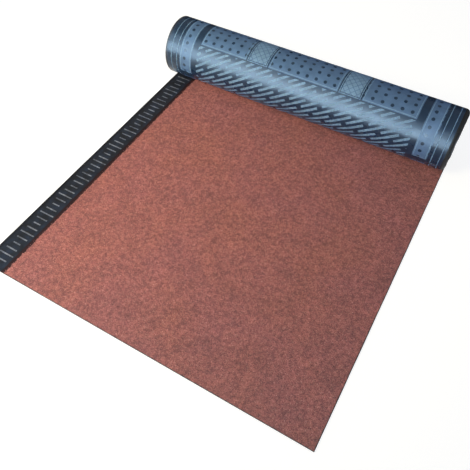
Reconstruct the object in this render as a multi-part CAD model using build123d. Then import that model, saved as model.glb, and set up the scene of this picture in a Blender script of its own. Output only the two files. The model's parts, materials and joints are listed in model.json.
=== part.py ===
"""Roll of mineral-surfaced roofing felt with the start of the sheet laid out flat.

The felt is one sheet. The laid stretch lies granules up, runs under the roll, climbs its
back and winds inwards, so the film on the sheet's underside is the outside of the roll.
One edge of the sheet is the side lap: a strip without granules, over which the next
sheet is bonded.

Frame, in millimetres: X along the roll, Y along the sheet towards the roll, Z up.
The origin is on the floor, in the middle of the part's outline seen from above.
"""

import os
from math import acos, degrees

from build123d import *

# Sheet
SHEET_WIDTH = 1000.0
SHEET_THICKNESS = 4.0  # film, bitumen and granules together
GRANULE_DEPTH = 1.0  # the granule face stands this far above the side lap
SIDE_LAP_WIDTH = 80.0

# Laid stretch, from its free edge to the line where the sheet leaves the floor
LAID_LENGTH = 1004.0

# Roll
ROLL_DIAMETER = 197.0
BORE_DIAMETER = 76.0  # left by the winding mandrel
GRANULE_BEDDING = 0.3  # the granules of one turn press this far into the next turn

# Seam between the turns, where it shows on the ends of the roll
SEAM_WIDTH = 0.8
SEAM_DEPTH = 3.0

# Sizes that follow from those above
ROLL_RADIUS = ROLL_DIAMETER / 2
BORE_RADIUS = BORE_DIAMETER / 2
TURN_PITCH = SHEET_THICKNESS - GRANULE_BEDDING
HALF_WIDTH = SHEET_WIDTH / 2
FRONT_Y = -(LAID_LENGTH + ROLL_RADIUS) / 2
AXIS_Y = FRONT_Y + LAID_LENGTH
LAST_SEAM_HALF_TURN = int(2 * (ROLL_RADIUS - BORE_RADIUS - TURN_PITCH) / TURN_PITCH)

# Directions round the roll, in degrees, seen along the roll from its +X end
TOP = 90
BOTTOM = 270
HALF_TURN = 180


def half_turn(index):
    """Centre height and radius of one half turn, counted inwards from the floor.

    Even half turns climb the back of the roll and odd ones come down its front. Their two
    centres lie half a pitch apart, so each half turn starts where the last one ended, and
    the whole winding is one smooth line that moves in by a pitch on each full turn.
    """
    centre_height = ROLL_RADIUS + (index % 2) * TURN_PITCH / 2
    return centre_height, ROLL_RADIUS - index * TURN_PITCH / 2


def touchdown_angle():
    """Degrees short of the bottom at which the front of the roll meets the laid sheet."""
    centre_height, radius = half_turn(1)
    return degrees(acos((centre_height - SHEET_THICKNESS) / radius))


def winding_arc(index, offset, skipped=0.0):
    """One half turn moved outwards by an offset, without its first skipped degrees."""
    centre_height, radius = half_turn(index)
    start = (BOTTOM if index % 2 == 0 else TOP) + skipped
    return CenterArc((AXIS_Y, centre_height), radius + offset, start, HALF_TURN - skipped)


def felt_section():
    """Section across the roll: the laid sheet and the first turn that winds up from it."""
    climb = winding_arc(0, 0)
    centre_height, radius = half_turn(1)
    descent = CenterArc((AXIS_Y, centre_height), radius, TOP, HALF_TURN - touchdown_angle())
    laid = Polyline(
        descent @ 1,
        (FRONT_Y, SHEET_THICKNESS),
        (FRONT_Y, 0),
        climb @ 0,
    )
    return make_face([climb, descent, laid])


def seam_section(width):
    """The line between the turns as a narrow face, from the touchdown in to the last turn.

    It starts a little outside the touchdown, where the roll has lifted off the sheet.
    """
    mouth_angle = HALF_TURN - 2 * touchdown_angle()
    walls = []
    for offset in (width / 2, -width / 2):
        first = winding_arc(1, offset, skipped=mouth_angle)
        rest = [winding_arc(index, offset) for index in range(2, LAST_SEAM_HALF_TURN + 1)]
        walls.append([first, *rest])
    outer, inner = walls
    mouth = Line(outer[0] @ 0, inner[0] @ 0)
    tail = Line(outer[-1] @ 1, inner[-1] @ 1)
    return make_face([*outer, *inner, mouth, tail])


def side_lap_recess():
    """The space above the side lap, which runs on under the roll."""
    size = (SIDE_LAP_WIDTH, LAID_LENGTH, GRANULE_DEPTH)
    corner = (-HALF_WIDTH, FRONT_Y, SHEET_THICKNESS - GRANULE_DEPTH)
    return Pos(*corner) * Box(*size, align=(Align.MIN, Align.MIN, Align.MIN))


def bore():
    """The hole that the winding mandrel leaves, through the length of the roll."""
    axis = Plane((-HALF_WIDTH, AXIS_Y, ROLL_RADIUS), z_dir=(1, 0, 0))
    through = (Align.CENTER, Align.CENTER, Align.MIN)
    return axis * Cylinder(BORE_RADIUS, SHEET_WIDTH, align=through)


def felt_roll():
    """The whole felt: one sheet, with its bore, its side lap and the seams on its ends."""
    left_end = Plane.YZ.offset(-HALF_WIDTH)
    right_end = Plane.YZ.offset(HALF_WIDTH)
    felt = extrude(left_end * felt_section(), SHEET_WIDTH)
    felt -= bore()
    felt -= side_lap_recess()
    # Without granules between them, the turns stand further apart at the side lap's end.
    felt -= extrude(left_end * seam_section(GRANULE_DEPTH), SEAM_DEPTH)
    felt -= extrude(right_end * seam_section(SEAM_WIDTH), -SEAM_DEPTH)
    return felt


os.makedirs("parts", exist_ok=True)
export_step(felt_roll(), "parts/roofing_felt_roll.step")
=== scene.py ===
"""Blender scene for a roll of mineral-surfaced roofing felt, partly unrolled.

The felt is one sheet. Its layers are the pieces of this scene: the bitumen sheet that lies
flat and then winds into the roll, the printed film round the outside of the roll, the film
strip on the side lap, the granules pressed into the laid stretch and the loose granules
beside the lap. The cut edges have bare margins, and the roll's right end is worn round.

Lengths are in metres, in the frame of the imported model: X along the roll, Y along the sheet
towards the roll, Z up from the floor. Sheet coordinates are the distance across the sheet
from its middle and the distance along it from its free edge.
"""

import json
import logging
import math
from collections.abc import Sequence
from dataclasses import dataclass, field
from enum import Enum

import bpy
import numpy as np
from mathutils import Matrix, Vector

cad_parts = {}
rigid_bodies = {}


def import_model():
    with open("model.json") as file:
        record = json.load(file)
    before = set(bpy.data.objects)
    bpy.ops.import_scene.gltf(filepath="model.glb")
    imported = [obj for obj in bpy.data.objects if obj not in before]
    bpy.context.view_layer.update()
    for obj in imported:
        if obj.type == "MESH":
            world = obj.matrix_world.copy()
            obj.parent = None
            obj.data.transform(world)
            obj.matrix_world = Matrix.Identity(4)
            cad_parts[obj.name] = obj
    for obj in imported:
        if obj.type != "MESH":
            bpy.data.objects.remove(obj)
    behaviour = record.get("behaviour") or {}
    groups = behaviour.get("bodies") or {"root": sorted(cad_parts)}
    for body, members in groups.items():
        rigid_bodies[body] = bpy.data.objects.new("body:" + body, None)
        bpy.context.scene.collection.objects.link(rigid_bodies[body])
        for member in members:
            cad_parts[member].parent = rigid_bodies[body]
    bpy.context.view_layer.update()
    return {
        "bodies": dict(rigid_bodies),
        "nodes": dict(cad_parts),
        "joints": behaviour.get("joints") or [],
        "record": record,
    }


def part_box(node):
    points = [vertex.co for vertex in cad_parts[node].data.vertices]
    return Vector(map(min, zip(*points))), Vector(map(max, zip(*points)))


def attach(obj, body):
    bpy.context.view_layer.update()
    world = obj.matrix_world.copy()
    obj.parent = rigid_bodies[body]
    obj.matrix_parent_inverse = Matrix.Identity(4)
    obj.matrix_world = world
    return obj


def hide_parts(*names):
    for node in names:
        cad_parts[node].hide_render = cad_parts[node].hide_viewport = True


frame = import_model()

NODE = "roofing_felt_roll"
BODY = "root"
SHEET_MAP = "sheet"
MILLIMETRE = 0.001
LOG = logging.getLogger("roofing_felt")

Object = bpy.types.Object
Node = bpy.types.Node
Socket = bpy.types.NodeSocket
Sockets = dict[str, Socket]
Value = Socket | float | Sequence[float]
Colour = tuple[float, float, float, float]

PALE_BLUE = (0.56, 0.82, 1.02)
WARM_WHITE = (1.0, 0.86, 0.45)
ROLL_FRONT = (0.0, 0.4, 0.1)


def srgb(red: int, green: int, blue: int) -> Colour:
    """Turns a screen colour into the linear colour that a shader takes.

    Args:
        red, green, blue: Screen values from 0 to 255.

    Returns:
        The linear colour with full alpha.
    """

    def linear(value: int) -> float:
        """Undoes the screen's curve for one channel."""
        share = value / 255
        return share / 12.92 if share <= 0.04045 else ((share + 0.055) / 1.055) ** 2.4

    return linear(red), linear(green), linear(blue), 1.0


def linked(name: str, data: bpy.types.ID) -> Object:
    """Makes an object of the scene.

    Args:
        name: Its name.
        data: The mesh, light or camera that it holds.

    Returns:
        The object.
    """
    made = bpy.data.objects.new(name, data)
    bpy.context.scene.collection.objects.link(made)
    return made


class Slot(Enum):
    """Material slots of the record."""

    BITUMEN = "bitumen_felt"
    GRANULES = "mineral_granules"
    FILM = "printed_film"


class Ink(Enum):
    """Colours of the film and its print."""

    NAVY = srgb(31, 50, 80)
    SLATE = srgb(78, 107, 154)
    PALE = srgb(109, 141, 184)


@dataclass(frozen=True)
class FeltSizes:
    """Sizes of the felt. The sheet's layers are too thin to read from the frame's box."""

    front_y: float
    axis_y: float
    half_width: float
    roll_radius: float
    bore_radius: float
    bitumen: float = 0.003
    granules: float = 0.001
    bedding: float = 0.0003
    lap_width: float = 0.080
    bare_side: float = 0.0022
    bare_front: float = 0.0010
    end_round: float = 0.013

    @classmethod
    def from_frame(cls, packed: dict) -> "FeltSizes":
        """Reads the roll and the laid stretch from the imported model.


        Returns:
            The felt's sizes.
        """
        low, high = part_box(NODE)
        mounts = {mount["name"]: mount for mount in packed["record"]["mounts"]}
        bore = mounts["mandrel_bore"]
        _, axis_y, axis_z = bore["pos_m"]
        return cls(
            front_y=low.y,
            axis_y=axis_y,
            half_width=high.x,
            roll_radius=axis_z,
            bore_radius=bore["dims"]["r_mm"] * MILLIMETRE,
        )

    @property
    def pitch(self) -> float:
        """Distance from one turn to the next."""
        return self.bitumen + self.granules - self.bedding

    @property
    def laid_length(self) -> float:
        """Length of the flat stretch."""
        return self.axis_y - self.front_y

    @property
    def lap_x(self) -> float:
        """Where the granules end and the side lap begins."""
        return self.lap_width - self.half_width


@dataclass(frozen=True)
class Stations:
    """Places along the underside of the sheet, with the way out of the roll at each."""

    run: np.ndarray
    y: np.ndarray
    z: np.ndarray
    out_y: np.ndarray
    out_z: np.ndarray

    def joined(self, other: "Stations") -> "Stations":
        """These places followed by the other ones."""
        pairs = zip(vars(self).values(), vars(other).values(), strict=True)
        return Stations(*(np.concatenate(pair) for pair in pairs))

    def inward(self, depth: np.ndarray) -> tuple[np.ndarray, np.ndarray]:
        """Places inside the underside.

        Args:
            depth: How far in each place lies, with a row for each station.

        Returns:
            The places' Y and Z.
        """
        y = self.y[:, None] - self.out_y[:, None] * depth
        z = self.z[:, None] - self.out_z[:, None] * depth
        return y, z


@dataclass(frozen=True)
class Winding:
    """The line that the sheet's underside follows, flat at first and then round the roll.

    Each half turn is an arc. The centres of the arcs at the back and at the front of the
    roll lie half a pitch apart, so that the line moves in by a pitch on each turn.
    """

    sizes: FeltSizes
    ROUNDING = 1e-9
    FAR_ABOVE = 1.0

    def laid(self, count: int) -> Stations:
        """Places on the flat stretch, short of its end.

        Args:
            count: How many evenly spaced places follow the bare margin at the free edge.

        Returns:
            The places, from the free edge on.
        """
        sizes = self.sizes
        covered = np.linspace(sizes.bare_front, sizes.laid_length, count, endpoint=False)
        run = np.append(0.0, covered)
        none = np.zeros_like(run)
        return Stations(run, sizes.front_y + run, none, none, none - 1.0)

    def wound(self, turned: np.ndarray) -> Stations:
        """Places round the roll.

        Args:
            turned: Angles wound since the sheet left the floor, in radians.

        Returns:
            One place for each angle.
        """
        sizes = self.sizes
        index = np.floor(turned / math.pi + self.ROUNDING)
        radius = sizes.roll_radius - index * sizes.pitch / 2
        centre_z = sizes.roll_radius + (index % 2) * sizes.pitch / 2
        before = math.pi * index * (sizes.roll_radius - (index - 1) * sizes.pitch / 4)
        run = sizes.laid_length + before + radius * (turned - index * math.pi)
        out_y, out_z = np.sin(turned), -np.cos(turned)
        return Stations(run, sizes.axis_y + radius * out_y, centre_z + radius * out_z, out_y, out_z)

    @property
    def inner_end(self) -> float:
        """Angle at which the sheet ends inside the roll, just before it would fill the bore."""
        sizes = self.sizes
        half_turns = 2 * (sizes.roll_radius - sizes.bore_radius) / sizes.pitch
        return math.pi * (half_turns - 1)

    def foot_height(self, y: np.ndarray) -> np.ndarray:
        """Height of the roll's outside above the laid sheet, near where they meet.

        Args:
            y: Places along the sheet.

        Returns:
            The height of the lower front of the roll, or a large one in front of the roll.
        """
        sizes = self.sizes
        radius = sizes.roll_radius - sizes.pitch / 2
        inside = radius**2 - (y - sizes.axis_y) ** 2
        drop = np.sqrt(np.maximum(inside, 0.0))
        return np.where(inside > 0, sizes.roll_radius + sizes.pitch / 2 - drop, self.FAR_ABOVE)


@dataclass(frozen=True)
class Ripple:
    """A smooth seeded unevenness, added up from waves of random direction and phase."""

    height: float
    longest: float
    shortest: float
    seed: int
    waves: int = 14

    def at(self, across: np.ndarray, along: np.ndarray) -> np.ndarray:
        """The unevenness at points of the sheet.

        Args:
            across: Distances across the sheet.
            along: Distances along the sheet.

        Returns:
            Heights whose usual size is the ripple's own height.
        """
        draw = np.random.default_rng(self.seed)
        lengths = np.geomspace(self.longest, self.shortest, self.waves)
        headings = draw.uniform(0, math.pi, self.waves)
        phases = draw.uniform(0, 2 * math.pi, self.waves)
        total = np.zeros(np.broadcast(across, along).shape)
        for length, heading, phase in zip(lengths, headings, phases, strict=True):
            way = across * math.cos(heading) + along * math.sin(heading)
            total += np.sin(2 * math.pi * way / length + phase)
        return self.height * total * math.sqrt(2 / self.waves)


class Skin:
    """Points, faces and sheet coordinates of one piece, gathered and then made an object."""

    def __init__(self) -> None:
        """Starts with no points."""
        self._places: list[np.ndarray] = []
        self._sheet: list[np.ndarray] = []
        self._faces: list[tuple[int, ...]] = []
        self._finishes: list[int] = []
        self._count = 0

    def add(self, x: np.ndarray, y: np.ndarray, z: np.ndarray, run: np.ndarray) -> np.ndarray:
        """Adds points.

        Args:
            x, y, z: Places of the points, as arrays of one shape.
            run: Distance of each point along the sheet.

        Returns:
            The points' numbers, in the same shape.
        """
        x, y, z, run = np.broadcast_arrays(x, y, z, run)
        self._places.append(np.stack([x, y, z], axis=-1).reshape(-1, 3))
        self._sheet.append(np.stack([x, run], axis=-1).reshape(-1, 2))
        numbers = np.arange(self._count, self._count + x.size).reshape(x.shape)
        self._count += x.size
        return numbers

    def face(self, corners: Sequence[int], finish: int = 0) -> None:
        """Adds one face with the given finish."""
        self._faces.append(tuple(int(corner) for corner in corners))
        self._finishes.append(finish)

    def patch(self, numbers: np.ndarray, finish: int = 0) -> None:
        """Fills a grid of points with quads that face up where rows run on and columns right.

        Args:
            numbers: The grid of point numbers.
            finish: Which of the piece's finishes the quads wear.
        """
        corners = (numbers[:-1, :-1], numbers[:-1, 1:], numbers[1:, 1:], numbers[1:, :-1])
        quads = np.stack(corners, axis=-1).reshape(-1, 4)
        self._faces.extend(map(tuple, quads.tolist()))
        self._finishes.extend([finish] * len(quads))

    def slab(self, x: np.ndarray, y: np.ndarray, z: np.ndarray, run: np.ndarray, base: float) -> None:
        """Adds a grid of points as the top of a slab, with a rim down to a level base.

        Args:
            x, y, z, run: The points, as they are added elsewhere.
            base: Height of the base.
        """
        top = self.add(x, y, z, run)
        self.patch(top)
        ring = np.concatenate([top[0, :-1], top[:-1, -1], top[-1, :0:-1], top[:0:-1, 0]])
        ring_x, ring_y, ring_run = (grid.ravel()[ring - top[0, 0]] for grid in (x, y, run))
        under = self.add(ring_x, ring_y, np.full(len(ring), base), ring_run)
        self.patch(np.stack([np.append(under, under[0]), np.append(ring, ring[0])]))
        self.face(under[::-1])

    def piece(self, name: str, slot: Slot, finishes: Sequence["Finish"], sharp_from: float) -> Object:
        """Makes the object.

        Args:
            name: The piece's name.
            slot: The record's material slot for it. It is not used.
            finishes: Its finishes, in the order of their numbers.
            sharp_from: Faces that meet at more than this angle, in degrees, meet in a sharp edge.

        Returns:
            The object, which rides on the felt's body and stands for its CAD node.
        """
        mesh = bpy.data.meshes.new(name)
        mesh.from_pydata(np.concatenate(self._places).tolist(), [], self._faces)
        for finish in finishes:
            mesh.materials.append(finish.material())
        mesh.polygons.foreach_set("material_index", self._finishes)
        corners = np.empty(len(mesh.loops), dtype=np.int32)
        mesh.loops.foreach_get("vertex_index", corners)
        chart = mesh.uv_layers.new(name=SHEET_MAP)
        chart.uv.foreach_set("vector", np.concatenate(self._sheet)[corners].ravel())
        mesh.shade_smooth()
        mesh.set_sharp_from_angle(angle=math.radians(sharp_from))
        mesh.validate()
        made = linked(name, mesh)
        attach(made, BODY)
        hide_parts(NODE)
        return made


class Graph:
    """Adds nodes to one node tree and wires them, so that a finish reads as a list of steps."""

    COLOUR_INPUTS = (6, 7)
    COLOUR_OUTPUT = 2
    NOISE_ROUGHNESS = 0.55
    NOISE_USUAL = (0.3, 0.7)

    def __init__(self, tree: bpy.types.NodeTree) -> None:
        """Takes the tree that the nodes go into."""
        self.tree = tree

    @classmethod
    def of(cls, owner: bpy.types.Material | bpy.types.World) -> "Graph":
        """Empties the node tree of a material or world.

        Args:
            owner: The material or world.

        Returns:
            The graph of its tree.
        """
        owner.use_nodes = True
        owner.node_tree.nodes.clear()
        return cls(owner.node_tree)

    def node(self, kind: str, inputs: dict | None = None, **settings: object) -> Node:
        """Adds one node.

        Args:
            kind: The node's type, without its ShaderNode prefix.
            inputs: Socket names or numbers with a value, or with a socket to link from.
            settings: Properties of the node.

        Returns:
            The node.
        """
        made = self.tree.nodes.new(f"ShaderNode{kind}")
        for name, value in settings.items():
            setattr(made, name, value)
        for name, value in (inputs or {}).items():
            self._give(made.inputs[name], value)
        return made

    def _give(self, socket: Socket, value: Value) -> None:
        """Links a socket from another one, or sets its value.

        Args:
            socket: The socket.
            value: The other socket, or the value.
        """
        if isinstance(value, Socket):
            self.tree.links.new(value, socket)
        else:
            socket.default_value = value

    def axes(self, vector: Socket) -> Sockets:
        """The three parts of a vector, by their letters."""
        return self.node("SeparateXYZ", {0: vector}).outputs

    def chart(self) -> Socket:
        """The point's sheet coordinates."""
        return self.node("UVMap", uv_map=SHEET_MAP).outputs[0]

    def math(self, operation: str, *values: Value) -> Socket:
        """The result of one step of arithmetic on numbers or sockets."""
        return self.node("Math", dict(enumerate(values)), operation=operation).outputs[0]

    def vector(self, operation: str, *values: Value) -> Socket:
        """The result of one step of arithmetic on vectors."""
        made = self.node("VectorMath", dict(enumerate(values)), operation=operation)
        return made.outputs["Value" if operation == "LENGTH" else "Vector"]

    def off_middle(self, value: Socket) -> Socket:
        """How far the fraction of a value lies from one half."""
        return self.math("ABSOLUTE", self.math("SUBTRACT", self.math("FRACT", value), 0.5))

    def mix(self, factor: Value, first: Value, second: Value, blend: str = "MIX") -> Socket:
        """Two colours mixed by a factor."""
        inputs = {0: factor, **dict(zip(self.COLOUR_INPUTS, (first, second), strict=True))}
        made = self.node("Mix", inputs, data_type="RGBA", blend_type=blend)
        return made.outputs[self.COLOUR_OUTPUT]

    def shaded(self, colour: Value, shade: Socket) -> Socket:
        """A colour made darker or lighter by a value."""
        grey = self.node("CombineColor", dict.fromkeys(range(3), shade)).outputs[0]
        return self.mix(1.0, colour, grey, blend="MULTIPLY")

    def ramp(self, factor: Socket, stops: Sequence[tuple[float, Colour]], steps: bool = False) -> Socket:
        """A colour looked up on a scale.

        Args:
            factor: Place on the scale, from 0 to 1.
            stops: Places on the scale with their colours.
            steps: Whether the colour jumps at each stop.

        Returns:
            The colour's socket.
        """
        made = self.node("ValToRGB", {0: factor})
        scale = made.color_ramp
        scale.interpolation = "CONSTANT" if steps else "LINEAR"
        while len(scale.elements) < len(stops):
            scale.elements.new(1.0)
        for element, (place, colour) in zip(scale.elements, stops, strict=True):
            element.position = place
            element.color = colour
        return made.outputs["Color"]

    def span(self, value: Socket, low: float, high: float, first: float, last: float) -> Socket:
        """A value moved from one span to another and held within it."""
        places = {0: value, 1: low, 2: high, 3: first, 4: last}
        return self.node("MapRange", places).outputs[0]

    def noise(self, vector: Socket, scale: float, detail: float = 3.0) -> Socket:
        """A soft noise at a scale in repeats per metre."""
        inputs = {"Vector": vector, "Scale": scale, "Detail": detail, "Roughness": self.NOISE_ROUGHNESS}
        return self.node("TexNoise", inputs).outputs["Fac"]

    def spread(self, noise: Socket, first: float, last: float) -> Socket:
        """A noise spread out so that its usual values fill a span."""
        return self.span(noise, *self.NOISE_USUAL, first, last)

    def group(self, effect: type["Effect"], **inputs: Value) -> Sockets:
        """Places an effect's node group.

        Args:
            effect: The effect.
            inputs: Values or sockets for its inputs, whose names are given in small letters.

        Returns:
            The sockets of its outputs.
        """
        made = self.node("Group", node_tree=effect.tree())
        for name, value in inputs.items():
            self._give(made.inputs[name.capitalize()], value)
        return made.outputs


class Effect:
    """A shader node group that is built once and then placed in each finish that shows it."""

    name = "effect"
    inputs: dict[str, str] = {}
    outputs: dict[str, str] = {}

    @classmethod
    def tree(cls) -> bpy.types.NodeTree:
        """The effect's node group.

        Returns:
            The group, made on the first call.
        """
        found = bpy.data.node_groups.get(cls.name)
        if found:
            return found
        made = bpy.data.node_groups.new(cls.name, "ShaderNodeTree")
        for way, sockets in (("INPUT", cls.inputs), ("OUTPUT", cls.outputs)):
            for label, kind in sockets.items():
                made.interface.new_socket(label, in_out=way, socket_type=f"NodeSocket{kind}")
        graph = Graph(made)
        given = made.nodes.new("NodeGroupInput").outputs
        result = made.nodes.new("NodeGroupOutput").inputs
        for label, socket in cls.build(graph, given).items():
            made.links.new(socket, result[label])
        return made

    @classmethod
    def build(cls, graph: Graph, given: Sockets) -> Sockets:
        """Adds the effect's nodes.

        Args:
            graph: The group's graph.
            given: Sockets of the group's inputs.

        Returns:
            The socket for each output.
        """
        raise NotImplementedError


class SlantedDashes(Effect):
    """Rows of slanted dashes, each row set on from the last."""

    name = "slanted_dashes"
    inputs = {"Place": "Vector", "Row": "Float", "Dash": "Float", "Filled": "Float", "Thick": "Float"}
    outputs = {"Mask": "Float"}
    SLANT = math.radians(33)
    SET_ON_SHARE = 0.37

    @classmethod
    def build(cls, graph: Graph, given: Sockets) -> Sockets:
        """Adds the nodes, as the base class says."""
        turn = {"Vector": given["Place"], "Angle": cls.SLANT}
        way = graph.axes(graph.node("VectorRotate", turn, rotation_type="Z_AXIS").outputs[0])
        rows = graph.math("DIVIDE", way["Y"], given["Row"])
        row = graph.math("FLOOR", rows)
        half = graph.math("MULTIPLY", given["Thick"], 0.5)
        on_line = graph.math("LESS_THAN", graph.off_middle(rows), half)
        dashes = graph.math("DIVIDE", way["X"], given["Dash"])
        place = graph.math("FRACT", graph.math("MULTIPLY_ADD", row, cls.SET_ON_SHARE, dashes))
        on_dash = graph.math("LESS_THAN", place, given["Filled"])
        return {"Mask": graph.math("MULTIPLY", on_line, on_dash)}


class DotRows(Effect):
    """Rows of small round dots."""

    name = "dot_rows"
    inputs = {"Place": "Vector", "Pitch": "Vector", "Radius": "Float"}
    outputs = {"Mask": "Float"}
    MIDDLE = (0.5, 0.5, 0.0)

    @classmethod
    def build(cls, graph: Graph, given: Sockets) -> Sockets:
        """Adds the nodes, as the base class says."""
        share = graph.vector("FRACTION", graph.vector("DIVIDE", given["Place"], given["Pitch"]))
        off = graph.vector("SUBTRACT", share, cls.MIDDLE)
        length = graph.vector("LENGTH", graph.vector("MULTIPLY", off, given["Pitch"]))
        return {"Mask": graph.math("LESS_THAN", length, given["Radius"])}


class Lattice(Effect):
    """Two sets of thin slanted lines that cross."""

    name = "lattice"
    inputs = {"Place": "Vector", "Pitch": "Float", "Thick": "Float"}
    outputs = {"Mask": "Float"}

    @classmethod
    def build(cls, graph: Graph, given: Sockets) -> Sockets:
        """Adds the nodes, as the base class says."""
        way = graph.axes(given["Place"])
        half = graph.math("MULTIPLY", given["Thick"], 0.5)
        lines = []
        for slant in ("ADD", "SUBTRACT"):
            rows = graph.math("DIVIDE", graph.math(slant, way["X"], way["Y"]), given["Pitch"])
            lines.append(graph.math("LESS_THAN", graph.off_middle(rows), half))
        return {"Mask": graph.math("MAXIMUM", *lines)}


class PrintPanel(Effect):
    """A printed rectangle and a thin line that runs round inside its edge."""

    name = "print_panel"
    inputs = {"Place": "Vector", "Centre": "Vector", "Half": "Vector", "Inset": "Float", "Line": "Float"}
    outputs = {"Inside": "Float", "Frame": "Float"}

    @classmethod
    def build(cls, graph: Graph, given: Sockets) -> Sockets:
        """Adds the nodes, as the base class says."""
        far = graph.vector("ABSOLUTE", graph.vector("SUBTRACT", given["Place"], given["Centre"]))
        way = graph.axes(graph.vector("SUBTRACT", far, given["Half"]))
        edge = graph.math("MAXIMUM", way["X"], way["Y"])
        from_line = graph.math("ABSOLUTE", graph.math("ADD", edge, given["Inset"]))
        return {
            "Inside": graph.math("LESS_THAN", edge, 0.0),
            "Frame": graph.math("LESS_THAN", from_line, given["Line"]),
        }


class FilmSurface(Effect):
    """Thin film drawn over bitumen: fine creases, uneven gloss and worn ink."""

    name = "film_surface"
    inputs = {"Place": "Vector"}
    outputs = {"Crease": "Float", "Roughness": "Float", "Ink left": "Float", "Tone": "Float"}
    CREASES_PER_METRE = 38.0
    WRINKLES_PER_METRE = 210.0
    CLOUDS_PER_METRE = 14.0
    WRINKLE_SHARE = 0.3
    ROUGHNESS = (0.22, 0.36)
    INK_WORN = (0.32, 0.54)
    INK_LEFT = (0.45, 1.0)
    TONE = (0.82, 1.12)

    @classmethod
    def build(cls, graph: Graph, given: Sockets) -> Sockets:
        """Adds the nodes, as the base class says."""
        soft = graph.noise(given["Place"], cls.CREASES_PER_METRE)
        fine = graph.noise(given["Place"], cls.WRINKLES_PER_METRE, detail=2.0)
        cloudy = graph.noise(given["Place"], cls.CLOUDS_PER_METRE, detail=4.0)
        return {
            "Crease": graph.math("MULTIPLY_ADD", fine, cls.WRINKLE_SHARE, soft),
            "Roughness": graph.spread(cloudy, *cls.ROUGHNESS),
            "Ink left": graph.span(fine, *cls.INK_WORN, *cls.INK_LEFT),
            "Tone": graph.spread(soft, *cls.TONE),
        }


class GranuleGrain(Effect):
    """Crushed mineral granules: one colour to each, with clumps and slow changes of tone."""

    name = "granule_grain"
    inputs = {"Place": "Vector", "Grains": "Float"}
    outputs = {"Color": "Color", "Height": "Float", "Roughness": "Float"}
    TONES = (
        (0.00, srgb(113, 61, 59)),
        (0.14, srgb(139, 80, 75)),
        (0.38, srgb(152, 90, 84)),
        (0.64, srgb(161, 97, 89)),
        (0.86, srgb(172, 109, 98)),
        (0.96, srgb(183, 127, 115)),
    )
    COOL = (0.99, 0.95, 1.12, 1.0)
    WARM = (1.02, 0.975, 0.96, 1.0)
    DRIFTS_PER_METRE = 4.5
    DRIFT = (0.35, 0.65)
    PATCHES_PER_METRE = 16.0
    PATCH_SHADE = (0.90, 1.10)
    CLUMPS_PER_METRE = 110.0
    CLUMP_SHADE = (0.73, 1.25)
    ROUGHNESS = (0.72, 0.96)

    @classmethod
    def build(cls, graph: Graph, given: Sockets) -> Sockets:
        """Adds the nodes, as the base class says."""
        cell = {"Vector": given["Place"], "Scale": given["Grains"], "Randomness": 1.0}
        grain = graph.node("TexVoronoi", cell).outputs
        pick = graph.node("SeparateColor", {0: grain["Color"]}).outputs
        own = graph.ramp(pick[0], cls.TONES, steps=True)
        clumps = graph.noise(given["Place"], cls.CLUMPS_PER_METRE, detail=1.0)
        patches = graph.noise(given["Place"], cls.PATCHES_PER_METRE, detail=2.0)
        drifts = graph.noise(given["Place"], cls.DRIFTS_PER_METRE)
        clump = graph.spread(clumps, *cls.CLUMP_SHADE)
        shade = graph.math("MULTIPLY", clump, graph.spread(patches, *cls.PATCH_SHADE))
        warmth = graph.span(drifts, *cls.DRIFT, 0.0, 1.0)
        tone = graph.shaded(graph.mix(warmth, cls.COOL, cls.WARM), shade)
        return {
            "Color": graph.mix(1.0, own, tone, blend="MULTIPLY"),
            "Height": graph.math("SUBTRACT", 1.0, grain["Distance"]),
            "Roughness": graph.span(pick[1], 0.0, 1.0, *cls.ROUGHNESS),
        }


@dataclass(frozen=True)
class Finish:
    """A finish of the felt, made into a material of that name."""

    name: str

    def material(self) -> bpy.types.Material:
        """The finish as a material.

        Returns:
            The material, made on the first call.
        """
        found = bpy.data.materials.get(self.name)
        if found:
            return found
        made = bpy.data.materials.new(self.name)
        graph = Graph.of(made)
        shader = graph.node("BsdfPrincipled")
        graph.node("OutputMaterial", {"Surface": shader.outputs[0]})
        self.dress(graph, shader)
        return made

    def dress(self, graph: Graph, shader: Node) -> None:
        """Wires the finish into the shader.

        Args:
            graph: The material's graph.
            shader: Its Principled shader.
        """
        raise NotImplementedError

    @staticmethod
    def place(graph: Graph) -> Socket:
        """The point in the part's own frame."""
        return graph.node("TexCoord").outputs["Object"]

    @staticmethod
    def wire(graph: Graph, shader: Node, **sockets: Socket) -> None:
        """Links sockets to the shader's inputs, whose names have _ for a space."""
        for name, socket in sockets.items():
            graph.tree.links.new(socket, shader.inputs[name.replace("_", " ")])

    @staticmethod
    def bump(graph: Graph, height: Socket, distance: float, strength: float) -> Socket:
        """A normal bent by a height, in metres at full height."""
        inputs = {"Height": height, "Distance": distance, "Strength": strength}
        return graph.node("Bump", inputs).outputs[0]


@dataclass(frozen=True)
class GranuleFinish(Finish):
    """The red-brown granules."""

    name: str = "red_brown_granules"
    grains_per_metre: float = 640.0
    grain_height: float = 0.0009
    bump_strength: float = 0.6

    def dress(self, graph: Graph, shader: Node) -> None:
        """Wires the finish into the shader, as the base class says."""
        grain = graph.group(GranuleGrain, place=self.place(graph), grains=self.grains_per_metre)
        normal = self.bump(graph, grain["Height"], self.grain_height, self.bump_strength)
        self.wire(graph, shader, Base_Color=grain["Color"], Roughness=grain["Roughness"], Normal=normal)


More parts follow.
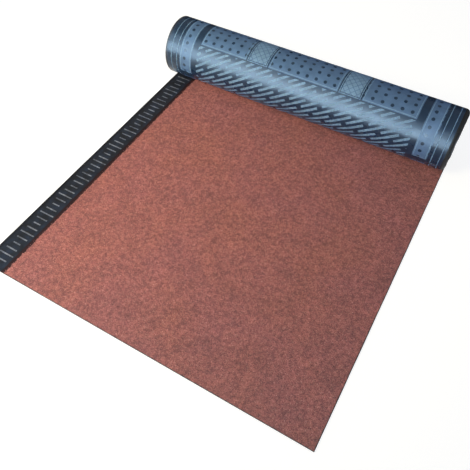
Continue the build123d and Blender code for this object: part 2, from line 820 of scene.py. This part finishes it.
@dataclass(frozen=True)
class BitumenFinish(Finish):
    """Bare bitumen, black where it is cut and browner where granule dust has settled."""

    name: str = "cut_bitumen"
    torn: Colour = srgb(22, 20, 21)
    worn: Colour = srgb(42, 39, 40)
    dusty: Colour = srgb(74, 64, 61)
    specular: float = 0.25
    tone_shares: tuple[float, float, float] = (0.3, 0.62, 0.8)
    tears_per_metre: float = 420.0
    tear_depth: float = 0.0006
    bump_strength: float = 0.6
    roughness: tuple[float, float] = (0.45, 0.8)

    def dress(self, graph: Graph, shader: Node) -> None:
        """Wires the finish into the shader, as the base class says."""
        shader.inputs["Specular IOR Level"].default_value = self.specular
        torn = graph.noise(self.place(graph), self.tears_per_metre, detail=4.0)
        tones = (self.torn, self.worn, self.dusty)
        colour = graph.ramp(torn, tuple(zip(self.tone_shares, tones, strict=True)))
        roughness = graph.spread(torn, *self.roughness)
        normal = self.bump(graph, torn, self.tear_depth, self.bump_strength)
        self.wire(graph, shader, Base_Color=colour, Roughness=roughness, Normal=normal)


LAP_BITUMEN = BitumenFinish("dusty_bitumen", srgb(32, 14, 13), srgb(50, 26, 24), srgb(84, 50, 44), 0.2)


@dataclass(frozen=True)
class Panel:
    """One printed panel of the film, placed across the sheet and along the print's repeat."""

    left: float
    right: float
    low: float
    high: float
    fill: Ink
    line: Ink
    dots: Ink | None = None
    lattice: Ink | None = None
    inset: float = 0.004


@dataclass(frozen=True)
class PrintedFilm(Finish):
    """The film on the sheet's underside: slanted dashes with plain and dotted panels over them."""

    name: str = "printed_film"
    repeat: float = 0.42
    repeat_start: float = 1.30
    half_width: float = 0.5
    line: float = 0.0011
    dash_row: float = 0.0172
    dash_pitch: float = 0.112
    dash_filled_share: float = 0.84
    dash_thick_share: float = 0.47
    dot_pitch: tuple[float, float, float] = (0.031, 0.0255, 1.0)
    dot_radius: float = 0.0056
    lattice_pitch: float = 0.02
    lattice_thick_share: float = 0.16
    bleed: float = 0.0016
    bleeds_per_metre: float = 170.0
    film_ior: float = 1.42
    crease_depth: float = 0.0012
    bump_strength: float = 0.45
    ink_paleness: tuple[float, float] = (0.03, 0.27)
    ink_matt: float = 0.42
    margin: float = 0.124
    worn_width: float = 0.011
    worn_reach_share: float = 0.65
    worn_most: float = 0.9
    worn_matt: float = 0.2
    worn: Colour = srgb(47, 41, 44)
    panels: tuple[Panel, ...] = (
        Panel(0.124, 0.876, -0.096, 0.084, Ink.NAVY, Ink.NAVY),
        Panel(0.128, 0.300, -0.092, 0.080, Ink.SLATE, Ink.PALE, dots=Ink.NAVY),
        Panel(0.304, 0.376, -0.092, 0.080, Ink.PALE, Ink.NAVY, lattice=Ink.SLATE),
        Panel(0.380, 0.620, -0.092, 0.080, Ink.SLATE, Ink.PALE, dots=Ink.NAVY),
        Panel(0.624, 0.696, -0.092, 0.080, Ink.PALE, Ink.NAVY, lattice=Ink.SLATE),
        Panel(0.700, 0.872, -0.092, 0.080, Ink.SLATE, Ink.PALE, dots=Ink.NAVY),
        Panel(0.020, 0.050, -0.210, 0.210, Ink.NAVY, Ink.PALE),
        Panel(0.058, 0.104, -0.196, 0.196, Ink.SLATE, Ink.PALE, dots=Ink.NAVY),
        Panel(0.896, 0.942, -0.196, 0.196, Ink.SLATE, Ink.PALE, dots=Ink.NAVY),
        Panel(0.950, 0.980, -0.210, 0.210, Ink.NAVY, Ink.PALE),
    )

    def dress(self, graph: Graph, shader: Node) -> None:
        """Wires the finish into the shader, as the base class says."""
        shader.inputs["IOR"].default_value = self.film_ior
        surface = graph.group(FilmSurface, place=self.place(graph))
        unbroken, place = self._print_places(graph)
        dashes = graph.math("MULTIPLY", self._dashes(graph, unbroken, place), surface["Ink left"])
        colour = graph.mix(dashes, Ink.NAVY.value, Ink.PALE.value)
        dots = graph.group(DotRows, place=place, pitch=self.dot_pitch, radius=self.dot_radius)
        lattice = graph.group(
            Lattice, place=place, pitch=self.lattice_pitch, thick=self.lattice_thick_share
        )
        for panel in self.panels:
            motifs = ((dots["Mask"], panel.dots), (lattice["Mask"], panel.lattice))
            colour = self._printed(graph, colour, place, motifs, panel)
        paleness = graph.node("RGBToBW", {0: colour}).outputs[0]
        matt = graph.span(paleness, *self.ink_paleness, 0.0, self.ink_matt)
        worn = self._worn(graph, place, surface["Crease"])
        colour = graph.mix(worn, graph.shaded(colour, surface["Tone"]), self.worn)
        normal = self.bump(graph, surface["Crease"], self.crease_depth, self.bump_strength)
        printed_roughness = graph.math("ADD", surface["Roughness"], matt)
        roughness = graph.math("MULTIPLY_ADD", worn, self.worn_matt, printed_roughness)
        self.wire(graph, shader, Base_Color=colour, Roughness=roughness, Normal=normal)

    def _dashes(self, graph: Graph, unbroken: Socket, place: Socket) -> Socket:
        """The mask of the dashes, which leaves a plain margin at each edge of the film.

        Args:
            graph: The material's graph.
            unbroken: The place along the whole sheet.
            place: The place in the print.

        Returns:
            The mask.
        """
        dashes = graph.group(
            SlantedDashes, place=unbroken, row=self.dash_row, dash=self.dash_pitch,
            filled=self.dash_filled_share, thick=self.dash_thick_share,
        )
        printed = graph.group(
            PrintPanel, place=place, centre=(self.half_width, 0.0, 0.0),
            half=(self.half_width - self.margin, self.repeat, 0.0), inset=0.0, line=0.0,
        )
        return graph.math("MULTIPLY", dashes["Mask"], printed["Inside"])

    def _worn(self, graph: Graph, place: Socket, crease: Socket) -> Socket:
        """The mask of the film's two edges, where it is scuffed down to the bitumen.

        Args:
            graph: The material's graph.
            place: The place in the print.
            crease: The film's creases, which make the scuffs uneven.

        Returns:
            The mask, which fades out inwards from each edge.
        """
        off = graph.math("ABSOLUTE", graph.math("SUBTRACT", graph.axes(place)["X"], self.half_width))
        uneven = graph.math("MULTIPLY_ADD", crease, self.worn_width, off)
        edge = self.half_width + self.worn_reach_share * self.worn_width
        return graph.span(uneven, edge - self.worn_width, edge, 0.0, self.worn_most)

    def _print_places(self, graph: Graph) -> tuple[Socket, Socket]:
        """Places across the sheet from its lap edge and along it.

        Args:
            graph: The material's graph.

        Returns:
            The place along the whole sheet, for the dashes, and the one within each repeat.
        """
        chart = graph.chart()
        noise = {"Vector": chart, "Scale": self.bleeds_per_metre, "Detail": 1.0}
        shake = graph.node("TexNoise", noise).outputs["Color"]
        way = graph.axes(graph.vector("MULTIPLY_ADD", shake, (self.bleed, self.bleed, 0.0), chart))
        across = graph.math("ADD", way["X"], self.half_width - self.bleed / 2)
        from_start = graph.math("SUBTRACT", way["Y"], self.repeat_start)
        repeats = graph.math("DIVIDE", from_start, self.repeat)
        share = graph.math("SUBTRACT", graph.math("FRACT", graph.math("ADD", repeats, 0.5)), 0.5)
        in_repeat = graph.math("MULTIPLY", share, self.repeat)
        unbroken, place = (
            graph.node("CombineXYZ", {0: across, 1: along}).outputs[0] for along in (from_start, in_repeat)
        )
        return unbroken, place

    def _printed(
        self,
        graph: Graph,
        colour: Socket,
        place: Socket,
        motifs: Sequence[tuple[Socket, Ink | None]],
        panel: Panel,
    ) -> Socket:
        """Prints one panel over what is there.

        Args:
            graph: The material's graph.
            colour: The colour so far.
            place: The place in the print.
            motifs: The mask of each motif, with its ink where the panel has it.
            panel: The panel.

        Returns:
            The colour with the panel printed.
        """
        centre = ((panel.left + panel.right) / 2, (panel.low + panel.high) / 2, 0.0)
        half = ((panel.right - panel.left) / 2, (panel.high - panel.low) / 2, 0.0)
        mask = graph.group(
            PrintPanel, place=place, centre=centre, half=half, inset=panel.inset, line=self.line
        )
        colour = graph.mix(mask["Inside"], colour, panel.fill.value)
        for motif, ink in motifs:
            if ink:
                inside = graph.math("MULTIPLY", motif, mask["Inside"])
                colour = graph.mix(inside, colour, ink.value)
        return graph.mix(mask["Frame"], colour, panel.line.value)


@dataclass(frozen=True)
class LapFilm(Finish):
    """The film on the side lap, printed with the ticks of a laying gauge."""

    name: str = "side_lap_film"
    half_width: float = 0.5
    tick_pitch: float = 0.0204
    tick_thick_share: float = 0.2
    tick_centre: float = 0.039
    band_half: float = 0.029
    band_blur: float = 0.003
    shortest_half: float = 0.0125
    longer_by: float = 0.006
    longest_rank: float = 2.0
    duller_by: float = 0.14
    film_ior: float = 1.32
    crease_depth: float = 0.0012
    bump_strength: float = 0.45
    kept_tones: tuple[float, float] = (0.86, 1.08)
    least_ink: float = 0.5
    edge_colour: Colour = srgb(22, 22, 31)
    bare_colour: Colour = srgb(31, 31, 39)
    kept_colour: Colour = srgb(35, 42, 61)
    tick_colour: Colour = srgb(132, 138, 166)

    def dress(self, graph: Graph, shader: Node) -> None:
        """Wires the finish into the shader, as the base class says."""
        shader.inputs["IOR"].default_value = self.film_ior
        surface = graph.group(FilmSurface, place=self.place(graph))
        way = graph.axes(graph.chart())
        off = graph.math("ABSOLUTE", graph.math("ADD", way["X"], self.half_width - self.tick_centre))
        band = graph.span(off, self.band_half - self.band_blur, self.band_half + self.band_blur, 1.0, 0.0)
        kept = graph.span(surface["Tone"], *self.kept_tones, 0.0, 1.0)
        ink = graph.math("MULTIPLY", self._ticks(graph, off, way["Y"]), surface["Ink left"])
        ink = graph.math("MULTIPLY", ink, graph.span(kept, 0.0, 1.0, self.least_ink, 1.0))
        film = graph.mix(kept, self.bare_colour, self.kept_colour)
        colour = graph.mix(ink, graph.mix(band, self.edge_colour, film), self.tick_colour)
        colour = graph.shaded(colour, surface["Tone"])
        normal = self.bump(graph, surface["Crease"], self.crease_depth, self.bump_strength)
        roughness = graph.math("ADD", surface["Roughness"], self.duller_by)
        self.wire(graph, shader, Base_Color=colour, Roughness=roughness, Normal=normal)

    def _ticks(self, graph: Graph, off: Socket, along: Socket) -> Socket:
        """The mask of the ticks: a short one, a middle one, a long one and a middle one.

        Args:
            graph: The material's graph.
            off: Distance from the line that the ticks stand on.
            along: Distance along the sheet.

        Returns:
            The mask.
        """
        steps = graph.math("DIVIDE", along, self.tick_pitch)
        on_tick = graph.math("LESS_THAN", graph.off_middle(steps), self.tick_thick_share / 2)
        rank = graph.math("PINGPONG", graph.math("FLOOR", steps), self.longest_rank)
        half = graph.math("MULTIPLY_ADD", rank, self.longer_by, self.shortest_half)
        return graph.math("MULTIPLY", on_tick, graph.math("LESS_THAN", off, half))


@dataclass
class BitumenSheet:
    """The sheet itself, from its free edge along the floor and in to the end inside the roll."""

    sizes: FeltSizes
    laid_steps: int = 24
    steps_per_half_turn: int = 36
    turn_gap: float = 0.0002
    laid_granules: float = 0.0006
    wound_granules: float = 0.0008
    bare_turns: int = 4
    round_in_share: float = 0.15
    tuck_share: float = 0.05
    rim_shares: tuple[float, ...] = (0.0, 0.1, 0.4, 1.0)
    sharp_from: float = 40.0
    stray: Ripple = field(default_factory=lambda: Ripple(0.0009, 1.3, 0.05, seed=3))
    cut: Ripple = field(default_factory=lambda: Ripple(0.00012, 0.05, 0.012, seed=5))

    def build(self) -> Object:
        """Makes the piece.

        Returns:
            The sheet, with its film, its cut edges and its wound granules as finishes.
        """
        winding = Winding(self.sizes)
        half_turns = math.ceil(winding.inner_end / math.pi)
        turned = np.linspace(0, winding.inner_end, half_turns * self.steps_per_half_turn)
        line = winding.laid(self.laid_steps).joined(winding.wound(turned))
        skin = Skin()
        rows = self._rows(skin, line)
        film, edge, granules, lap = range(4)
        rubbed = self.laid_steps + 2 * self.bare_turns * self.steps_per_half_turn
        stretches = (
            (0, 1, (edge, edge, edge, edge)),
            (1, self.laid_steps, (edge, edge, granules, granules)),
            (self.laid_steps, rubbed, (edge, edge, granules, granules)),
            (rubbed, len(rows), (granules, granules, granules, granules)),
        )
        rim = [edge] * (len(self.rim_shares) - 1)
        for first, last, face in stretches:
            wears = (film, *rim, *face, lap, edge)
            for column, finish in enumerate(wears):
                beside = (column + 1) % len(wears)
                skin.patch(rows[first : last + 1, [beside, column]], finish)
        skin.face(rows[0], edge)
        skin.face(rows[-1][::-1], edge)
        return self.dress(skin)

    def _rows(self, skin: Skin, line: Stations) -> np.ndarray:
        """Adds the corners of the sheet's section at each station.

        Args:
            skin: The piece so far.
            line: Stations along the sheet.

        Returns:
            Their numbers, one row for each station and as many columns as the section has corners.
        """
        sizes = self.sizes
        wound = np.clip((line.run - sizes.laid_length) / (math.pi * sizes.roll_radius), 0, 1)
        inside = np.clip((line.run - sizes.laid_length) / sizes.roll_radius - 2 * math.pi, 0, 1)
        wound_bitumen = sizes.pitch - self.turn_gap - self.wound_granules
        bitumen = sizes.bitumen + wound * (wound_bitumen - sizes.bitumen)
        granules = self.laid_granules + wound * (self.wound_granules - self.laid_granules)
        none = np.zeros_like(line.run)
        stray = inside * self.stray.at(none, line.run)
        left = -sizes.half_width + self.cut.at(none, line.run) + stray
        right = sizes.half_width - self.cut.at(none + 1, line.run) + stray
        lap = np.full_like(line.run, sizes.lap_x)
        full = bitumen + granules
        rim = [bitumen * share for share in self.rim_shares]
        end = right - self._worn_back(line, full)
        section = (
            (left, none),
            *((right - self._worn_back(line, depth), depth) for depth in rim),
            (end, full),
            (end - sizes.bare_side, full),
            (lap, full),
            (lap, bitumen),
            (left, bitumen),
        )
        x = np.stack([across for across, _ in section], axis=-1)
        depth = np.stack([inward for _, inward in section], axis=-1)
        return skin.add(x, *line.inward(depth), line.run[:, None])

    def _worn_back(self, line: Stations, inward: np.ndarray) -> np.ndarray:
        """How far the right edge is worn back, on the end that the roll has stood on.

        Args:
            line: Stations along the sheet.
            inward: Depth of a place in the sheet, from its underside.

        Returns:
            The distance of that place from the flat of the roll's end.
        """
        sizes = self.sizes
        first_turn = 2 * math.pi * (sizes.roll_radius - sizes.pitch / 4)
        turns = np.maximum(line.run - sizes.laid_length, 0.0) / first_turn
        covered = np.floor(turns) + np.clip((turns % 1 - 1) / self.tuck_share + 1, 0, 1)
        outer = np.maximum(sizes.end_round - sizes.pitch * covered - inward, 0.0)
        back = sizes.end_round - np.sqrt(sizes.end_round**2 - outer**2)
        return np.clip(turns / self.round_in_share, 0, 1) * back

    def dress(self, skin: Skin) -> Object:
        """Gives the sheet its finishes and makes it an object."""
        finishes = (PrintedFilm(), BitumenFinish(), GranuleFinish(), LAP_BITUMEN)
        return skin.piece("bitumen_sheet", Slot.BITUMEN, finishes, self.sharp_from)


@dataclass
class RollFilm:
    """The printed film round the outside of the roll."""

    sizes: FeltSizes
    start: float = math.radians(5)
    end: float = math.radians(355)
    steps: int = 178
    columns: int = 180
    lift: float = 0.00012
    sink: float = 0.0004
    sharp_from: float = 60.0
    crease: Ripple = field(default_factory=lambda: Ripple(0.00009, 0.16, 0.022, seed=11))

    def build(self) -> Object:
        """Makes the piece.

        Returns:
            The film, closed with a hidden back that lies in the bitumen.
        """
        line = Winding(self.sizes).wound(np.linspace(self.start, self.end, self.steps))
        end = self.sizes.half_width - self.sizes.end_round
        across = np.linspace(-self.sizes.half_width, end, self.columns)
        lift = self.lift + self.crease.at(across[None, :], line.run[:, None])
        skin = Skin()
        front = self._layer(skin, line, across, lift)
        back = self._layer(skin, line, across[[0, -1]], np.full((self.steps, 2), -self.sink))
        skin.patch(front[:, ::-1])
        skin.patch(back)
        skin.patch(np.stack([front[:, 0], back[:, 0]], axis=1))
        skin.patch(np.stack([back[:, -1], front[:, -1]], axis=1))
        skin.face([*front[0], back[0, 1], back[0, 0]])
        skin.face([*front[-1][::-1], back[-1, 0], back[-1, 1]])
        return self.dress(skin)

    @staticmethod
    def _layer(skin: Skin, line: Stations, across: np.ndarray, lift: np.ndarray) -> np.ndarray:
        """Adds a layer of points that lies off the roll's outline by a lift.

        Args:
            skin: The piece so far.
            line: Stations round the roll.
            across: Places along the roll.
            lift: How far out each point lies.

        Returns:
            The points' numbers, one row for each station.
        """
        return skin.add(across[None, :], *line.inward(-lift), line.run[:, None])

    def dress(self, skin: Skin) -> Object:
        """Gives the film its finish and makes it an object."""
        return skin.piece("roll_film", Slot.FILM, [PrintedFilm()], self.sharp_from)


@dataclass
class LapStrip:
    """The film strip on the side lap of the laid stretch."""

    sizes: FeltSizes
    edge_gap: float = 0.0008
    bare: float = 0.0122
    columns: int = 22
    rows: int = 260
    lift: float = 0.0004
    sharp_from: float = 60.0
    crease: Ripple = field(default_factory=lambda: Ripple(0.00009, 0.12, 0.015, seed=17))

    def build(self) -> Object:
        """Makes the piece.

        Returns:
            The strip.
        """
        sizes = self.sizes
        across = np.linspace(-sizes.half_width + self.edge_gap, sizes.lap_x - self.bare, self.columns)
        along = np.linspace(sizes.front_y + self.edge_gap, sizes.axis_y, self.rows)
        x, y = np.meshgrid(across, along)
        z = sizes.bitumen + self.lift + self.crease.at(x, y)
        skin = Skin()
        skin.slab(x, y, z, y - sizes.front_y, sizes.bitumen - self.lift)
        return self.dress(skin)

    def dress(self, skin: Skin) -> Object:
        """Gives the strip its finish and makes it an object."""
        return skin.piece("side_lap_film", Slot.FILM, [LapFilm()], self.sharp_from)


@dataclass
class GranuleFace:
    """The granules pressed into the laid stretch, as one rough layer with a ragged lap edge."""

    sizes: FeltSizes
    spacing: float = 0.0033
    jitter_share: float = 0.32
    rough: float = 0.00015
    roughest: float = 0.0004
    ragged: float = 0.0009
    frayed: float = 0.0006
    skirt: float = 0.0008
    clearance: float = 0.0003
    sharp_from: float = 70.0
    seed: int = 23
    press: Ripple = field(default_factory=lambda: Ripple(0.00008, 0.09, 0.012, seed=29))
    wander: Ripple = field(default_factory=lambda: Ripple(0.0009, 0.2, 0.012, seed=31))

    def build(self) -> Object:
        """Makes the piece.

        Returns:
            The layer of granules.
        """
        x, y = self._grid()
        sizes = self.sizes
        draw = np.random.default_rng(self.seed)
        relief = np.clip(draw.normal(0, self.rough, x.shape), -self.roughest, self.roughest)
        z = sizes.bitumen + sizes.granules + relief + self.press.at(x, y)
        z = np.minimum(z, Winding(sizes).foot_height(y) - self.clearance)
        skin = Skin()
        skin.slab(x, y, z, y - sizes.front_y, sizes.bitumen + sizes.granules - self.skirt)
        return self.dress(skin)

    def _grid(self) -> tuple[np.ndarray, np.ndarray]:
        """Points of the layer, moved off their grid so that no rows show.

        Returns:
            The points' places across and along the sheet.
        """
        sizes = self.sizes
        columns = round((sizes.half_width - sizes.lap_x) / self.spacing)
        rows = round(sizes.laid_length / self.spacing)
        across = np.linspace(sizes.lap_x, sizes.half_width - sizes.bare_side, columns)
        along = np.linspace(sizes.front_y + sizes.bare_front, sizes.axis_y, rows)
        x, y = np.meshgrid(across, along)
        draw = np.random.default_rng(self.seed + 1)
        off_x = draw.uniform(-1, 1, x.shape) * self.spacing * self.jitter_share
        off_y = draw.uniform(-1, 1, y.shape) * self.spacing * self.jitter_share
        off_x[:, 0] = self.wander.at(0 * along, along) + draw.normal(0, self.ragged, rows)
        off_x[:, -1] = draw.uniform(-1, 1, rows) * self.frayed
        off_y[0] = draw.uniform(-1, 1, columns) * self.frayed
        off_y[-1] = 0
        return x + off_x, y + off_y

    def dress(self, skin: Skin) -> Object:
        """Gives the granules their finish and makes them an object."""
        return skin.piece("laid_granules", Slot.GRANULES, [GranuleFinish()], self.sharp_from)


@dataclass
class StrayGranules:
    """Loose granules along the bare line beside the lap, each a small flat chip."""

    sizes: FeltSizes
    count: int = 420
    spread: float = 0.0026
    smallest: float = 0.0005
    largest: float = 0.0011
    corner_shares: tuple[float, float] = (0.6, 1.2)
    lift_share: float = 0.5
    sharp_from: float = 20.0
    seed: int = 37
    CORNERS = np.array([(1, 0, 0), (0, 1, 0), (-1, 0, 0), (0, -1, 0), (0, 0, 0.8), (0, 0, -0.8)])
    FACES = ((0, 1, 4), (1, 2, 4), (2, 3, 4), (3, 0, 4), (1, 0, 5), (2, 1, 5), (3, 2, 5), (0, 3, 5))

    def build(self) -> Object:
        """Makes the piece.

        Returns:
            The loose granules.
        """
        sizes = self.sizes
        draw = np.random.default_rng(self.seed)
        x = sizes.lap_x - np.abs(draw.normal(0, self.spread, self.count))
        y = draw.uniform(sizes.front_y + self.spread, sizes.axis_y - sizes.roll_radius / 2, self.count)
        size = draw.uniform(self.smallest, self.largest, (self.count, 1, 1))
        uneven = draw.uniform(*self.corner_shares, (self.count, len(self.CORNERS), 1))
        chips = self.CORNERS * size * uneven
        lift = sizes.bitumen + self.lift_share * size[:, :, 0]
        skin = Skin()
        along = y[:, None] + chips[:, :, 1]
        rows = skin.add(x[:, None] + chips[:, :, 0], along, lift + chips[:, :, 2], along - sizes.front_y)
        for row in rows:
            for face in self.FACES:
                skin.face(row[list(face)])
        return self.dress(skin)

    def dress(self, skin: Skin) -> Object:
        """Gives the chips their finish and makes them an object."""
        return skin.piece("stray_granules", Slot.GRANULES, [GranuleFinish()], self.sharp_from)


@dataclass(frozen=True)
class Lamp:
    """A soft box: a rectangular lamp that looks at a point, with its spread in degrees."""

    name: str
    place: tuple[float, float, float]
    aim: tuple[float, float, float]
    size: tuple[float, float]
    power: float
    colour: tuple[float, float, float]
    gloss_only: bool = False
    unseen_in_gloss: bool = False
    spread: float = 180.0

    def build(self) -> None:
        """Makes the lamp."""
        light = bpy.data.lights.new(self.name, "AREA")
        light.shape = "RECTANGLE"
        light.size, light.size_y = self.size
        light.spread = math.radians(self.spread)
        light.energy = self.power
        light.color = self.colour
        made = linked(self.name, light)
        made.visible_camera = False
        made.visible_diffuse = not self.gloss_only
        made.visible_glossy = not self.unseen_in_gloss
        way = Vector(self.aim) - Vector(self.place)
        turn = way.to_track_quat("-Z", "Y").to_matrix().to_4x4()
        made.matrix_world = Matrix.Translation(self.place) @ turn


@dataclass(frozen=True)
class PhotoCamera:
    """The camera of the photograph, fitted to the felt's edges there, with its angles in degrees."""

    azimuth: float = 29.69
    elevation: float = 53.68
    roll: float = 0.19
    distance: float = 1.482
    aim: tuple[float, float, float] = (0.056, -0.1253, 0.0)
    lens_over_frame: float = 1.101

    def build(self) -> None:
        """Makes the camera and sets it as the scene's."""
        azimuth, elevation = math.radians(self.azimuth), math.radians(self.elevation)
        level = math.cos(elevation)
        back = Vector((math.sin(azimuth) * level, -math.cos(azimuth) * level, math.sin(elevation)))
        data = bpy.data.cameras.new("photo_camera")
        data.lens = self.lens_over_frame * data.sensor_width
        made = linked("photo_camera", data)
        turn = back.to_track_quat("Z", "Y").to_matrix().to_4x4()
        place = Matrix.Translation(Vector(self.aim) + back * self.distance)
        made.matrix_world = place @ turn @ Matrix.Rotation(math.radians(self.roll), 4, "Z")
        bpy.context.scene.camera = made


@dataclass(frozen=True)
class Studio:
    """The floor with its walls, a dark card, the lamps and the sky light round the felt."""

    floor_half: float = 30.0
    floor_drop: float = 0.0008
    wall_height: float = 12.0
    floor_white: Colour = (0.80, 0.80, 0.80, 1.0)
    floor_shown: Colour = (0.25, 0.25, 0.262, 1.0)
    floor_glow: float = 0.86
    card_from: tuple[float, float] = (-2.4, 0.60)
    card_to: tuple[float, float] = (1.2, 2.60)
    card_height: float = 1.08
    card_dark: Colour = (0.05, 0.05, 0.05, 1.0)
    sky: Colour = (0.80, 0.88, 1.0, 1.0)
    sky_strength: float = 0.345
    lamps: tuple[Lamp, ...] = (
        Lamp("front_card", (-1.1, -3.2, 1.32), ROLL_FRONT, (4.4, 2.3), 470.0, PALE_BLUE, gloss_only=True),
        Lamp("upper_card", (-1.0, -1.7, 2.6), ROLL_FRONT, (4.4, 1.6), 100.0, PALE_BLUE, gloss_only=True),
        Lamp("front_fill", (-0.6, -2.2, 0.25), ROLL_FRONT, (3.0, 0.46), 11.0, PALE_BLUE),
        Lamp(
            "left_key", (-0.738, -1.3, 1.519), (-0.6, 0.9, 0.0), (0.8, 0.8), 24.9, WARM_WHITE,
            unseen_in_gloss=True, spread=115.0,
        ),
    )

    def build(self) -> None:
        """Makes the studio."""
        bpy.context.scene.view_settings.view_transform = "Standard"
        self._floor()
        self._dark_card()
        self._world()
        for lamp in self.lamps:
            lamp.build()

    def _floor(self) -> None:
        """Makes a pale floor with walls, white to the eye, that keeps the felt's shadow."""
        half = self.floor_half
        ground = ((-half, -half), (half, -half), (half, half), (-half, half))
        points = [(x, y, z) for z in (-self.floor_drop, self.wall_height) for x, y in ground]
        faces = [(0, 1, 2, 3), (0, 4, 5, 1), (1, 5, 6, 2), (2, 6, 7, 3), (3, 7, 4, 0)]
        _, graph = self._prop("floor", points, faces)
        matt = graph.node("BsdfDiffuse", {"Color": self.floor_white}).outputs[0]
        shaded = graph.node("BsdfDiffuse", {"Color": self.floor_shown}).outputs[0]
        glow = graph.node("Emission", {"Strength": self.floor_glow}).outputs[0]
        bright = graph.node("AddShader", {0: shaded, 1: glow}).outputs[0]
        shown = graph.node("MixShader", {0: self._seen(graph), 1: matt, 2: bright})
        graph.node("OutputMaterial", {"Surface": shown.outputs[0]})

    def _dark_card(self) -> None:
        """Sets a dark card behind the roll that only reflections see, so that its rim stays dark."""
        level = -self.floor_drop / 2
        (left, near), (right, far) = self.card_from, self.card_to
        profile = ((near, level), (far, level), (far, self.card_height))
        points = [(x, y, z) for x in (left, right) for y, z in profile]
        made, graph = self._prop("dark_card", points, [(0, 3, 4, 1), (1, 4, 5, 2)])
        dark = graph.node("BsdfDiffuse", {"Color": self.card_dark})
        graph.node("OutputMaterial", {"Surface": dark.outputs[0]})
        made.visible_camera = False
        made.visible_diffuse = False
        made.visible_shadow = False

    @staticmethod
    def _prop(name: str, points: Sequence, faces: Sequence) -> tuple[Object, Graph]:
        """Makes a prop of the stage.

        Args:
            name: Its name.
            points: Its corners.
            faces: The numbers of the corners of each face.

        Returns:
            The prop, and the empty graph of its material.
        """
        mesh = bpy.data.meshes.new(name)
        mesh.from_pydata(points, [], faces)
        made = linked(name, mesh)
        material = bpy.data.materials.new(name)
        mesh.materials.append(material)
        return made, Graph.of(material)

    def _world(self) -> None:
        """Makes an even sky light."""
        world = bpy.data.worlds.new("studio")
        bpy.context.scene.world = world
        graph = Graph.of(world)
        light = graph.node("Background", {"Color": self.sky, "Strength": self.sky_strength})
        graph.node("OutputWorld", {"Surface": light.outputs[0]})

    @staticmethod
    def _seen(graph: Graph) -> Socket:
        """One where a ray comes from the camera, a reflection or clear glass.

        Args:
            graph: The material's graph.

        Returns:
            The socket.
        """
        path = graph.node("LightPath").outputs
        mirrored = graph.math("MAXIMUM", path["Is Glossy Ray"], path["Is Transmission Ray"])
        return graph.math("MAXIMUM", path["Is Camera Ray"], mirrored)


def main() -> None:
    """Builds the felt and the studio, and reports each piece."""
    logging.basicConfig(level=logging.INFO, format="%(name)s: %(message)s")
    sizes = FeltSizes.from_frame(frame)
    for maker in (BitumenSheet, RollFilm, LapStrip, GranuleFace, StrayGranules):
        piece = maker(sizes).build()
        LOG.info("%s has %d faces", piece.name, len(piece.data.polygons))
    Studio().build()
    PhotoCamera().build()


if __name__ == "__main__":
    main()
